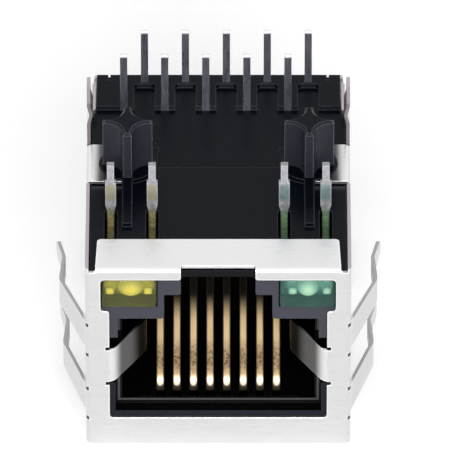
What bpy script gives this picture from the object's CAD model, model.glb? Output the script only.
import math

import bmesh
import bpy
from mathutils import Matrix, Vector


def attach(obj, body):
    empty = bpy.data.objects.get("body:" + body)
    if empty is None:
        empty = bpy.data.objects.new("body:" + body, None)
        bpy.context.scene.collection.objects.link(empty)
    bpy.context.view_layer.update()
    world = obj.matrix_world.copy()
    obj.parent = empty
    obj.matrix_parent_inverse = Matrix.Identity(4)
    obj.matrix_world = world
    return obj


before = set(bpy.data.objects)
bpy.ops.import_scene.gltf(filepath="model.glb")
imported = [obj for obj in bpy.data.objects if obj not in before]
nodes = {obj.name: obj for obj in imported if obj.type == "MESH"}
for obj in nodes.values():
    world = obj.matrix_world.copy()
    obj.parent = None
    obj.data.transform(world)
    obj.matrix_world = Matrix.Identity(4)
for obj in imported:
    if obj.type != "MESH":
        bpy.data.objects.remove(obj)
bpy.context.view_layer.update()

MM = 0.001
FRONT = -10.5
BOARD_PLANE = 13.5
WHITE = (1.0, 1.0, 1.0, 1)

# Places on the sheet in millimetres, counted from the centre plane, the front plane or the roof
WALL_TOPS = (7.58, 8.12)
BESIDE_POSTS = (8.9, 13.0)
SOLDER_TABS = (12.0, 12.5)
OUTSIDE_WALLS = (8.13, 8.3)
OVER_ROOF = (1.0, 1.1)
TAB_LEVEL = (13.2, 13.25)
FLAP_LEVEL = (13.2, 13.3)
BOSS_SIDE = (7.2, 7.75)
GROUND_TAB_EDGE = (6.62, 6.66)
GROUND_TAB_LEVELS = (4.8, 7.4)
GROUND_TAB_BEND = (0.15, 0.9)
GROUND_TAB_END = (1.6, 2.7)

# Places on the mouldings
BOARD_SIDE_LEVEL = (12.9, 13.0)
CARRIER_FRONT = (10.9, 11.0)
POST_FOOT = (13.52, 13.58)
POST_EDGES = (13.54, 13.6)
COMB_LEVEL = (11.4, 11.6)
COMB_FRONT = (15.0, 15.2)
FACE_DEPTH = (0.4, 0.5)
LAMP_FACE_LEVEL = (7.6, 8.0)
LATCH_EDGE = (2.28, 2.34)
LATCH_LEVEL = (12.6, 12.65)
STEP_DEPTH = (0.95, 1.12)
RIM_SIDE = (6.05, 6.15)
RIM_LEVEL = (2.74, 2.84)
RIM_SOFT = 0.04

# The contacts: their pitch, half their width as a fraction of it, where their noses round off, and
# how far back the nose ends, the rubbed run begins and ends, and the dark begins
CONTACT_PITCH = 1.02
WIRE_HALF = 0.215
NOSE_LEVEL = 3.1
NOSE_DROP = 0.28
NOSE_END = (2.0, 2.7)
RUB_START = (2.3, 3.2)
RUB_END = (3.6, 5.0)
DEEP_START = (5.5, 7.3)

# The heights of the pins' tips and of two parts of the lamp leads
PIN_TIP = (16.86, 16.92)
LEAD_GROOVE = (13.3, 14.2)
LEAD_SHOULDER = (14.6, 15.45)

# The lamps: their places, and how far the lens's own colour covers what lies behind it
LAMP_MIDDLE = 5.4
LAMP_LEVEL = 11.38
LENS_COVER = 0.4


def place(x, back, z):
    """A point given in millimetres, its depth measured back from the front plane, in the scene's metres."""
    return Vector((x * MM, (FRONT + back) * MM, z * MM))


class Shader:
    """A material built from nodes, with short calls for the patterns that the jack needs."""

    def __init__(self, name):
        self.material = bpy.data.materials.new(name)
        self.material.use_nodes = True
        self.tree = self.material.node_tree
        self.surface = self.tree.nodes["Principled BSDF"]
        coordinates = self.tree.nodes.new("ShaderNodeTexCoord")
        self.position = coordinates.outputs["Object"]
        geometry = self.tree.nodes.new("ShaderNodeNewGeometry")
        self.normal = geometry.outputs["True Normal"]
        self.facing = self.node("ShaderNodeSeparateXYZ", Vector=self.normal)
        split = self.node("ShaderNodeSeparateXYZ", Vector=self.position)
        self.across = self.math("MULTIPLY", split.outputs["X"], 1 / MM)
        self.side = self.math("ABSOLUTE", self.across)
        self.back = self.math("SUBTRACT", self.math("MULTIPLY", split.outputs["Y"], 1 / MM), FRONT)
        self.height = self.math("MULTIPLY", split.outputs["Z"], 1 / MM)

    def node(self, kind, **sockets):
        """A node whose named sockets are linked or set."""
        made = self.tree.nodes.new(kind)
        for name, value in sockets.items():
            self.feed(made.inputs[name.replace("_", " ")], value)
        return made

    def feed(self, socket, value):
        """Links an output to a socket, or sets the socket's own value."""
        if isinstance(value, bpy.types.NodeSocket):
            self.tree.links.new(value, socket)
        else:
            socket.default_value = value

    def set(self, **sockets):
        """Links or sets sockets of the surface shader."""
        for name, value in sockets.items():
            self.feed(self.surface.inputs[name.replace("_", " ")], value)

    def math(self, operation, first, second=0.0, clamp=False):
        """One arithmetic step."""
        made = self.tree.nodes.new("ShaderNodeMath")
        made.operation = operation
        made.use_clamp = clamp
        self.feed(made.inputs[0], first)
        self.feed(made.inputs[1], second)
        return made.outputs[0]

    def fade(self, value, low, high, start=0.0, end=1.0):
        """A value mapped from one range to another, smoothly and clamped."""
        made = self.tree.nodes.new("ShaderNodeMapRange")
        made.interpolation_type = "SMOOTHSTEP"
        self.feed(made.inputs["Value"], value)
        made.inputs["From Min"].default_value = low
        made.inputs["From Max"].default_value = high
        made.inputs["To Min"].default_value = start
        made.inputs["To Max"].default_value = end
        return made.outputs["Result"]

    def fall(self, value, low, high):
        """1 below the first of two values and 0 above the second."""
        return self.fade(value, low, high, 1.0, 0.0)

    def times(self, *values):
        """The product of several values."""
        product = values[0]
        for value in values[1:]:
            product = self.math("MULTIPLY", product, value)
        return product

    def inverse(self, value):
        """1 minus a value."""
        return self.math("SUBTRACT", 1.0, value)

    def band(self, value, low, high, soft=0.05):
        """1 between two values, 0 outside them."""
        return self.times(self.fade(value, low - soft, low), self.fall(value, high, high + soft))

    def length(self, first, second):
        """The length of a flat vector with these two parts."""
        return self.math("SQRT", self.math("ADD", self.times(first, first), self.times(second, second)))

    def spot(self, x, z, wide, high):
        """A soft round spot on a face that looks forward, 1 at its middle and 0 at its rim."""
        over = self.math("DIVIDE", self.math("SUBTRACT", self.across, x), wide)
        up = self.math("DIVIDE", self.math("SUBTRACT", self.height, z), high)
        return self.fall(self.length(over, up), 0.2, 1.0)

    def edge(self, radius):
        """1 along sharp edges, 0 on flat faces."""
        bevel = self.node("ShaderNodeBevel", Radius=radius * MM)
        bevel.samples = 4
        dot = self.tree.nodes.new("ShaderNodeVectorMath")
        dot.operation = "DOT_PRODUCT"
        self.feed(dot.inputs[0], bevel.outputs["Normal"])
        self.feed(dot.inputs[1], self.normal)
        return self.fall(dot.outputs["Value"], 0.8, 0.98)

    def mix(self, factor, first, second):
        """A blend of two colours."""
        made = self.tree.nodes.new("ShaderNodeMix")
        made.data_type = "RGBA"
        self.feed(made.inputs["Factor"], factor)
        self.feed(made.inputs[6], first)
        self.feed(made.inputs[7], second)
        return made.outputs[2]

    def noise(self, scale, detail=3.0, roughness=0.55):
        """Noise whose scale along each axis is in features per millimetre."""
        mapping = self.node("ShaderNodeMapping", Vector=self.position)
        mapping.inputs["Scale"].default_value = [part / MM for part in scale]
        made = self.node("ShaderNodeTexNoise", Vector=mapping.outputs["Vector"])
        made.inputs["Scale"].default_value = 1.0
        made.inputs["Detail"].default_value = detail
        made.inputs["Roughness"].default_value = roughness
        return made.outputs["Fac"]

    def level_faces(self):
        """1 on faces that look up or down, 0 on upright ones."""
        return self.fade(self.math("ABSOLUTE", self.facing.outputs["Z"]), 0.6, 0.8)

    def forward_faces(self):
        """1 on faces that look straight to the front."""
        return self.fade(self.math("MULTIPLY", self.facing.outputs["Y"], -1.0), 0.9, 0.98)

    def relief(self, height, depth, edge=0.04):
        """The surface normal with rounded edges and a fine relief, in millimetres."""
        bevel = self.node("ShaderNodeBevel", Radius=edge * MM)
        bevel.samples = 4
        bump = self.node("ShaderNodeBump", Height=height, Normal=bevel.outputs["Normal"])
        bump.inputs["Strength"].default_value = 1.0
        bump.inputs["Distance"].default_value = depth * MM
        self.set(Normal=bump.outputs["Normal"])


def shield_plate():
    """Tin-plated sheet with a fine level grain, and darker raw metal where it was cut."""
    shader = Shader("shield_plate")
    level = shader.level_faces()
    upright_grain = shader.noise((0.8, 0.8, 15.0), 4.0, 0.65)
    level_grain = shader.noise((0.8, 15.0, 0.8), 4.0, 0.65)
    grain = shader.math("ADD", shader.times(level, level_grain),
                        shader.times(shader.inverse(level), upright_grain))
    metal = shader.mix(shader.fade(grain, 0.3, 0.7), (0.61, 0.61, 0.615, 1), (0.65, 0.65, 0.65, 1))
    metal = shader.mix(shader.times(level, 0.3), metal, WHITE)
    metal = shader.mix(shader.times(shader.edge(0.2), 0.9), metal, WHITE)

    # Sheared edges: the tops of the walls, and the narrow sides of the solder tabs
    beside_posts = shader.band(shader.back, *BESIDE_POSTS)
    off_roof = shader.fade(shader.height, *OVER_ROOF)
    wall_top = shader.times(level, shader.band(shader.side, *WALL_TOPS, 0.01), off_roof,
                            shader.inverse(beside_posts))
    facing_ends = shader.fade(shader.math("ABSOLUTE", shader.facing.outputs["Y"]), 0.5, 0.8)
    tab_edge = shader.times(facing_ends, shader.fade(shader.height, *TAB_LEVEL),
                            shader.fade(shader.back, *SOLDER_TABS))
    raw = shader.math("MAXIMUM", wall_top, tab_edge)
    colour = shader.mix(raw, metal, (0.42, 0.38, 0.41, 1))
    colour = shader.mix(shader.times(tab_edge, 0.7), colour, (0.24, 0.215, 0.23, 1))

    # Spring fingers
    finger = shader.fade(shader.side, *OUTSIDE_WALLS)
    colour = shader.mix(shader.times(finger, 0.5), colour, (0.55, 0.55, 0.555, 1))
    colour = shader.mix(shader.times(level, finger), colour, (0.36, 0.36, 0.37, 1))

    # Side flaps, which mirror the posts
    flap = shader.times(level, beside_posts, shader.fade(shader.height, *FLAP_LEVEL))
    towards_boss = shader.times(flap, shader.fall(shader.side, *BOSS_SIDE))
    colour = shader.mix(towards_boss, colour, (0.08, 0.08, 0.085, 1))

    # Ground tabs, which darken into the port
    in_port = shader.times(shader.fall(shader.side, *GROUND_TAB_EDGE),
                           shader.band(shader.height, *GROUND_TAB_LEVELS),
                           shader.fall(shader.back, *SOLDER_TABS))
    lit = shader.times(shader.fade(shader.back, *GROUND_TAB_BEND, 1.0, 0.2),
                       shader.fall(shader.back, *GROUND_TAB_END))
    unlit = shader.times(in_port, shader.inverse(lit))
    shader.set(Base_Color=shader.mix(unlit, colour, (0.002, 0.002, 0.002, 1)))
    shader.set(Metallic=shader.inverse(in_port), Specular_IOR_Level=0.1)
    polish = shader.fade(grain, 0.25, 0.75, 0.26, 0.36)
    shader.set(Roughness=shader.math("ADD", polish, shader.times(tab_edge, 0.45)))
    shader.relief(grain, 0.0012, 0.05)
    return shader.material


def black_plastic():
    """Black moulding with a quiet sheen, paler edges and a greyer skin on its front faces."""
    shader = Shader("black_plastic")
    cloud = shader.noise((0.6, 0.6, 0.6), 3.0)
    fine = shader.noise((14.0, 14.0, 14.0), 2.0)
    forward = shader.forward_faces()

    # The board side, with the flanks of the posts and the front of the pins' comb
    board_side = shader.math("MAXIMUM", shader.fade(shader.height, *BOARD_SIDE_LEVEL),
                             shader.fade(shader.back, *CARRIER_FRONT))
    flanks = shader.times(shader.fade(shader.height, *POST_FOOT), shader.inverse(shader.level_faces()))
    comb = shader.times(forward, shader.fade(shader.height, *COMB_LEVEL),
                        shader.fade(shader.back, *COMB_FRONT))
    crest = shader.fade(shader.height, *POST_EDGES, 0.3, 0.9)
    inside = shader.mix(cloud, (0.001, 0.001, 0.0012, 1), (0.002, 0.002, 0.0025, 1))
    outside = shader.mix(cloud, (0.0012, 0.0022, 0.005, 1), (0.002, 0.0035, 0.007, 1))
    body = shader.mix(board_side, inside, outside)
    body = shader.mix(comb, body, (0.017, 0.019, 0.024, 1))
    body = shader.mix(flanks, body, (0.026, 0.027, 0.036, 1))
    edge_lines = shader.times(board_side, shader.edge(0.12), crest)
    body = shader.mix(edge_lines, body, (0.17, 0.175, 0.2, 1))

    # The face round the lamps and the port
    face = shader.times(forward, shader.fall(shader.back, *FACE_DEPTH))
    beside_lamps = shader.fade(shader.height, *LAMP_FACE_LEVEL)
    over_keyway = shader.times(shader.fall(shader.side, *LATCH_EDGE),
                               shader.fade(shader.height, *LATCH_LEVEL))
    lamp_face = shader.mix(cloud, (0.05, 0.05, 0.064, 1), (0.059, 0.059, 0.075, 1))
    land = shader.mix(cloud, (0.012, 0.0135, 0.018, 1), (0.016, 0.018, 0.023, 1))
    skin = shader.mix(beside_lamps, land, lamp_face)
    skin = shader.mix(over_keyway, skin, (0.006, 0.006, 0.007, 1))
    colour = shader.mix(face, body, skin)

    # The step in the port's mouth, with a thin pale rim
    step = shader.times(forward, shader.band(shader.back, *STEP_DEPTH))
    rim_side = shader.band(shader.side, *RIM_SIDE, RIM_SOFT)
    rim_low = shader.band(shader.height, *RIM_LEVEL, RIM_SOFT)
    in_rim = shader.times(shader.fall(shader.side, RIM_SIDE[1], RIM_SIDE[1] + RIM_SOFT),
                          shader.fade(shader.height, RIM_LEVEL[0] - RIM_SOFT, RIM_LEVEL[0]))
    rim = shader.times(step, in_rim, shader.math("MAXIMUM", rim_side, rim_low))
    colour = shader.mix(step, colour, (0.006, 0.006, 0.006, 1))
    colour = shader.mix(rim, colour, (0.075, 0.075, 0.075, 1))
    shader.set(Base_Color=colour, Metallic=0.0)
    gloss = shader.fade(cloud, 0.3, 0.7, 0.24, 0.32)
    shader.set(Roughness=shader.math("ADD", gloss, shader.times(face, 0.3)))
    shader.set(Specular_IOR_Level=0.06)
    shader.relief(fine, 0.002, 0.05)
    return shader.material


def wire_rim(shader):
    """1 along the edges of the contacts' wire and round its nose, 0 on its middle."""
    turn = shader.math("FRACT", shader.math("DIVIDE", shader.across, CONTACT_PITCH))
    off_middle = shader.math("ABSOLUTE", shader.math("SUBTRACT", turn, 0.5))
    over = shader.math("DIVIDE", off_middle, WIRE_HALF)
    under = shader.math("DIVIDE", shader.math("SUBTRACT", NOSE_LEVEL, shader.height), NOSE_DROP, True)
    return shader.fade(shader.length(over, under), 0.6, 1.0)


def gold_contact():
    """Gold-plated spring wire: a pale nose, a rubbed and speckled run, and dark deep in the port."""
    shader = Shader("gold_contact")
    lines = shader.noise((9.0, 0.5, 0.5), 3.0)
    specks = shader.fade(shader.noise((6.0, 6.0, 6.0), 3.0, 0.7), 0.42, 0.62)
    gold = shader.mix(shader.fade(lines, 0.3, 0.7), (0.95, 0.66, 0.34, 1), (1.0, 0.76, 0.42, 1))
    rubbed = shader.times(shader.fade(shader.back, *RUB_START), shader.fall(shader.back, *RUB_END))
    worn = shader.times(rubbed, shader.fade(specks, 0.0, 1.0, 0.55, 0.95))
    colour = shader.mix(worn, gold, (0.14, 0.075, 0.04, 1))
    nose = shader.fall(shader.back, *NOSE_END)
    colour = shader.mix(nose, colour, (1.0, 0.93, 0.8, 1))
    deep = shader.fade(shader.back, *DEEP_START)
    colour = shader.mix(deep, colour, (0.008, 0.006, 0.005, 1))
    colour = shader.mix(shader.times(wire_rim(shader), 0.95), colour, (0.03, 0.02, 0.012, 1))
    shader.set(Base_Color=colour, Metallic=0.25)
    shader.set(Roughness=shader.fade(lines, 0.3, 0.7, 0.34, 0.44))
    shader.relief(lines, 0.0012, 0.06)
    return shader.material


def tin_pin():
    """Tin-plated pin, grey from the plastic that it mirrors, with paler edges and faint lines."""
    shader = Shader("tin_pin")
    lines = shader.noise((5.0, 5.0, 0.8), 3.0)
    tin = shader.mix(shader.fade(lines, 0.3, 0.7), (0.13, 0.135, 0.17, 1), (0.2, 0.205, 0.24, 1))
    tin = shader.mix(shader.times(shader.edge(0.06), 0.7), tin, (0.6, 0.6, 0.63, 1))
    ends = shader.fade(shader.height, *PIN_TIP)
    shader.set(Base_Color=shader.mix(ends, tin, (0.85, 0.85, 0.86, 1)), Metallic=0.6)
    shader.set(Roughness=shader.fade(lines, 0.3, 0.7, 0.26, 0.36))
    shader.relief(lines, 0.002, 0.05)
    return shader.material


def lamp_lead(name, shoulder, foot):
    """A frosted lead with its lamp's tint on the middle of the shoulder and down in the groove."""
    shader = Shader(name)
    frost = shader.noise((5.0, 5.0, 5.0), 4.0, 0.7)
    edge = shader.edge(0.16)
    tin = shader.mix(shader.fade(frost, 0.35, 0.65), (0.2, 0.2, 0.22, 1), (0.36, 0.36, 0.39, 1))
    tin = shader.mix(shader.times(edge, 0.7), tin, (0.6, 0.6, 0.61, 1))
    low = shader.fall(shader.height, *LEAD_GROOVE)
    middle = shader.band(shader.height, *LEAD_SHOULDER, 0.3)
    patchy = shader.times(middle, shader.fade(frost, 0.4, 0.6, 0.6, 1.0), shader.inverse(edge))
    mottled_foot = shader.mix(shader.fade(frost, 0.4, 0.6, 0.55, 0.0), foot, (0.05, 0.05, 0.03, 1))
    shaded_foot = shader.mix(shader.times(edge, 0.9), mottled_foot, (0.012, 0.012, 0.01, 1))
    colour = shader.mix(low, shader.mix(patchy, tin, shoulder), shaded_foot)
    shader.set(Base_Color=colour, Metallic=0.3)
    rough = shader.fade(frost, 0.3, 0.7, 0.35, 0.5)
    shader.set(Roughness=shader.math("ADD", rough, shader.times(low, 0.35)))
    shader.relief(frost, 0.004, 0.05)
    return shader.material


def lens(name, dark, light, line):
    """Tinted clear epoxy, a little cloudy, with paler edges, that shows what is cast into it."""
    shader = Shader(name)
    cloud = shader.noise((0.9, 0.9, 0.9), 2.0)
    edge = shader.edge(0.07)
    body = shader.mix(shader.fade(cloud, 0.35, 0.65), dark, light)
    shader.set(Base_Color=shader.mix(shader.times(edge, 0.6), body, line), Metallic=0.0)
    shader.set(Alpha=shader.math("ADD", LENS_COVER, shader.times(edge, 0.4), True), IOR=1.52)
    shader.set(Roughness=shader.fade(cloud, 0.3, 0.7, 0.06, 0.14))
    shader.relief(cloud, 0.01, 0.12)
    return shader.material


def glow(name, rim, core, spots, strength):
    """The pale inner parts of a lamp, brighter at the middle of each of their spots."""
    shader = Shader(name)
    cloud = shader.noise((1.6, 1.6, 1.6), 2.0)
    light = 0.0
    for spot in spots:
        light = shader.math("ADD", shader.spot(*spot), light, True)
    light = shader.times(light, shader.fade(cloud, 0.3, 0.7, 0.88, 1.0))
    tone = shader.mix(light, rim, core)
    shader.set(Base_Color=tone, Emission_Color=tone, Emission_Strength=strength, Roughness=0.5)
    shader.relief(cloud, 0.01, 0.05)
    return shader.material


def plain(name, dark, light, metallic, low, high):
    """A quiet material with a little mottling for the pieces inside the module."""
    shader = Shader(name)
    cloud = shader.noise((1.2, 1.2, 1.2), 4.0)
    shader.set(Base_Color=shader.mix(cloud, dark, light), Metallic=metallic)
    shader.set(Roughness=shader.fade(cloud, 0.3, 0.7, low, high))
    shader.relief(cloud, 0.01, 0.03)
    return shader.material


def paint(node, material):
    """Puts a material on every slot of a CAD node."""
    slots = nodes[node].material_slots
    if not slots:
        nodes[node].data.materials.append(material)
    for item in slots:
        item.material = material


def paint_nodes():
    """The finish of every CAD node."""
    sheet = shield_plate()
    plastic = black_plastic()
    gold = gold_contact()
    tin = tin_pin()
    yellow_lead = lamp_lead("tin_lead_yellow", (0.27, 0.25, 0.15, 1), (0.25, 0.22, 0.09, 1))
    green_lead = lamp_lead("tin_lead_green", (0.1, 0.17, 0.16, 1), (0.13, 0.24, 0.12, 1))
    ferrite = plain("ferrite", (0.05, 0.05, 0.055, 1), (0.09, 0.09, 0.1, 1), 0.0, 0.5, 0.7)
    laminate = plain("board_laminate", (0.02, 0.14, 0.05, 1), (0.04, 0.2, 0.08, 1), 0.0, 0.35, 0.5)
    ceramic = plain("capacitor_body", (0.4, 0.28, 0.15, 1), (0.5, 0.36, 0.2, 1), 0.0, 0.45, 0.6)
    chip = plain("chip_body", (0.03, 0.03, 0.035, 1), (0.06, 0.06, 0.065, 1), 0.0, 0.4, 0.55)
    yellow_lens = lens("yellow_lens", dark=(0.1, 0.11, 0.03, 1), light=(0.14, 0.14, 0.035, 1),
                       line=(0.5, 0.52, 0.3, 1))
    green_lens = lens("green_lens", dark=(0.035, 0.11, 0.09, 1), light=(0.05, 0.15, 0.12, 1),
                      line=(0.4, 0.6, 0.52, 1))
    finishes = {
        "front_shield": sheet,
        "rear_shield": sheet,
        "housing": plastic,
        "pin_carrier": plastic,
        "contact_sled": plastic,
        "led_left": yellow_lens,
        "led_right": green_lens,
        "led_lead_1": yellow_lead,
        "led_lead_2": yellow_lead,
        "led_lead_3": green_lead,
        "led_lead_4": green_lead,
        "filter_board": laminate,
        "shield_capacitor": ceramic,
    }
    for name in nodes:
        if name in finishes:
            paint(name, finishes[name])
        elif name.startswith("contact_"):
            paint(name, gold)
        elif name.startswith("signal_pin"):
            paint(name, tin)
        elif name.startswith("resistor"):
            paint(name, chip)
        else:
            paint(name, ferrite)


def add_piece(name, mesh, material):
    """A new piece on the jack's one body."""
    bmesh.ops.recalc_face_normals(mesh, faces=mesh.faces)
    data = bpy.data.meshes.new(name)
    mesh.to_mesh(data)
    mesh.free()
    piece = bpy.data.objects.new(name, data)
    bpy.context.scene.collection.objects.link(piece)
    data.materials.append(material)
    for face in data.polygons:
        face.use_smooth = True
    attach(piece, "root")
    return piece


def dome(name, x, back, z, wide, high, depth, material):
    """The round crown of a lamp's inner body, swelling towards the front."""
    mesh = bmesh.new()
    rings = 8
    spokes = 36
    rows = []
    for ring in range(rings + 1):
        angle = math.pi / 2 * ring / rings
        reach = math.cos(angle)
        swell = depth * math.sin(angle)
        row = []
        for spoke in range(spokes):
            turn = 2 * math.pi * spoke / spokes
            row.append(mesh.verts.new(place(x + wide * reach * math.cos(turn), back - swell,
                                            z + high * reach * math.sin(turn))))
        rows.append(row)
        if ring == rings - 1:
            break
    top = mesh.verts.new(place(x, back - depth, z))
    for lower, upper in zip(rows, rows[1:]):
        for i in range(spokes):
            following = (i + 1) % spokes
            mesh.faces.new((lower[i], lower[following], upper[following], upper[i]))
    for i in range(spokes):
        mesh.faces.new((rows[-1][i], rows[-1][(i + 1) % spokes], top))
    mesh.faces.new(list(reversed(rows[0])))
    return add_piece(name, mesh, material)


def rounded_block(name, low, high, radius, material):
    """A block with rounded edges between two corners in millimetres."""
    mesh = bmesh.new()
    bmesh.ops.create_cube(mesh, size=1.0)
    lowest = place(*low)
    highest = place(*high)
    for vert in mesh.verts:
        for axis in range(3):
            vert.co[axis] = lowest[axis] + (vert.co[axis] + 0.5) * (highest[axis] - lowest[axis])
    bmesh.ops.bevel(mesh, geom=mesh.edges[:], offset=radius * MM, segments=3, profile=0.5,
                    affect="EDGES")
    return add_piece(name, mesh, material)


def lamp_insides(side, crown, ends, tints):
    """What shows through a lens: the crown over the die, the ends of the two leads and the back."""
    word = "left" if side < 0 else "right"
    middle = LAMP_MIDDLE * side
    shift, wide = crown
    x = middle + shift
    z = LAMP_LEVEL
    rim, core, dark, haze = tints

    def end_spots(size):
        """A round spot of this size on each lead's end."""
        return [(middle + end, z, size, size) for end in ends]

    bright = glow(f"lamp_{word}", rim, core, [(x, z, wide, 0.7)] + end_spots(0.34), 0.6)
    back = glow(f"lamp_back_{word}", dark, haze, [(x, z + 0.1, 1.6, 1.0)] + end_spots(0.55), 0.4)
    dome(f"lamp_crown_{word}", x, 1.1, z + 0.05, wide, 0.66, 0.5, bright)
    soft = glow(f"lamp_end_{word}", haze, core, end_spots(0.32), 0.5)
    for number, end in enumerate(ends, start=1):
        low = (middle + end - 0.25, 0.6, z - 0.24)
        high = (middle + end + 0.25, 0.75, z + 0.24)
        rounded_block(f"lamp_lead_end_{word}_{number}", low, high, 0.11, soft)
    low = (middle - 1.6, 1.25, 10.65)
    high = (middle + 1.6, 2.7, 12.47)
    rounded_block(f"lamp_back_{word}", low, high, 0.1, back)


def lamps():
    """The insides of both lamps, each with the colours of its rim, core, back and haze."""
    yellow = [
        (0.45, 0.42, 0.08, 1),
        (0.9, 0.76, 0.1, 1),
        (0.08, 0.09, 0.025, 1),
        (0.5, 0.46, 0.06, 1),
    ]
    green = [
        (0.2, 0.45, 0.32, 1),
        (0.55, 0.85, 0.55, 1),
        (0.02, 0.07, 0.07, 1),
        (0.16, 0.38, 0.3, 1),
    ]
    lamp_insides(-1, (0.06, 0.8), (-1.2, 1.12), yellow)
    lamp_insides(1, (0.07, 0.66), (-0.86, 1.22), green)


def studio():
    """A white floor that keeps the shadow, a pale world and three soft lamps."""
    floor_glow = 0.31
    world_as_light = 0.38
    world_as_seen = 1.1
    shader = Shader("studio_floor")
    seen = seen_rays(shader.tree)
    cloud = shader.noise((0.002, 0.002, 0.002), 2.0)
    floor_white = shader.mix(cloud, (0.88, 0.88, 0.88, 1), (0.9, 0.9, 0.9, 1))
    shader.set(Base_Color=floor_white, Roughness=0.9)
    shader.set(Emission_Color=WHITE, Emission_Strength=shader.times(seen, floor_glow))
    mesh = bmesh.new()
    bmesh.ops.create_grid(mesh, x_segments=8, y_segments=8, size=1.5)
    data = bpy.data.meshes.new("studio_floor")
    mesh.to_mesh(data)
    mesh.free()
    floor = bpy.data.objects.new("studio_floor", data)
    floor.location.z = -0.00002
    data.materials.append(shader.material)
    bpy.context.scene.collection.objects.link(floor)

    world = bpy.data.worlds.new("studio_world")
    bpy.context.scene.world = world
    world.use_nodes = True
    background = world.node_tree.nodes["Background"]
    background.inputs["Color"].default_value = WHITE
    strength = world.node_tree.nodes.new("ShaderNodeMapRange")
    strength.inputs["To Min"].default_value = world_as_light
    strength.inputs["To Max"].default_value = world_as_seen
    world.node_tree.links.new(seen_rays(world.node_tree), strength.inputs["Value"])
    world.node_tree.links.new(strength.outputs["Result"], background.inputs["Strength"])

    soft_lamp("key_lamp", (-0.35, -0.45, 0.6), 0.5, 1.2)
    soft_lamp("fill_lamp", (0.45, -0.3, 0.45), 0.5, 0.5)
    soft_lamp("front_lamp", (0.06, -0.6, 0.34), 0.4, 3.8)


def seen_rays(tree):
    """1 for rays that come from the camera, a mirror or a clear piece, 0 for those that only light."""
    path = tree.nodes.new("ShaderNodeLightPath")
    total = path.outputs["Is Camera Ray"]
    for ray in ("Is Glossy Ray", "Is Transmission Ray"):
        added = tree.nodes.new("ShaderNodeMath")
        added.operation = "ADD"
        added.use_clamp = True
        tree.links.new(total, added.inputs[0])
        tree.links.new(path.outputs[ray], added.inputs[1])
        total = added.outputs[0]
    return total


def soft_lamp(name, location, width, power):
    """A square soft lamp that faces the jack."""
    light = bpy.data.lights.new(name, "AREA")
    light.shape = "SQUARE"
    light.size = width
    light.energy = power
    lamp = bpy.data.objects.new(name, light)
    lamp.location = location
    aim = Vector((0, 0, 0.006)) - lamp.location
    lamp.rotation_mode = "QUATERNION"
    lamp.rotation_quaternion = aim.to_track_quat("-Z", "Y")
    bpy.context.scene.collection.objects.link(lamp)


def camera():
    """The photograph's view: level across, 36.7 degrees down, far enough away to look nearly flat."""
    elevation = math.radians(36.7)
    distance = 0.686
    focal = 11294.0
    image_width = 473
    image_height = 471
    seen_x = 218.15
    seen_y = 269.6
    target = place(0, 0, BOARD_PLANE)
    ahead = Vector((0, math.cos(elevation), -math.sin(elevation)))
    up = Vector((0, math.sin(elevation), math.cos(elevation)))
    right = Vector((1, 0, 0))
    across = (image_width / 2 - seen_x) / focal * distance
    above = (seen_y - image_height / 2) / focal * distance
    data = bpy.data.cameras.new("photo_camera")
    data.sensor_width = 36.0
    data.lens = focal / image_width * data.sensor_width
    data.clip_start = 0.05
    data.clip_end = 10.0
    item = bpy.data.objects.new("photo_camera", data)
    item.location = target - ahead * distance + right * across + up * above
    item.rotation_mode = "QUATERNION"
    item.rotation_quaternion = ahead.to_track_quat("-Z", "Y")
    bpy.context.scene.collection.objects.link(item)
    bpy.context.scene.camera = item


camera()
studio()
paint_nodes()
lamps()
bpy.context.scene.view_settings.view_transform = "Standard"
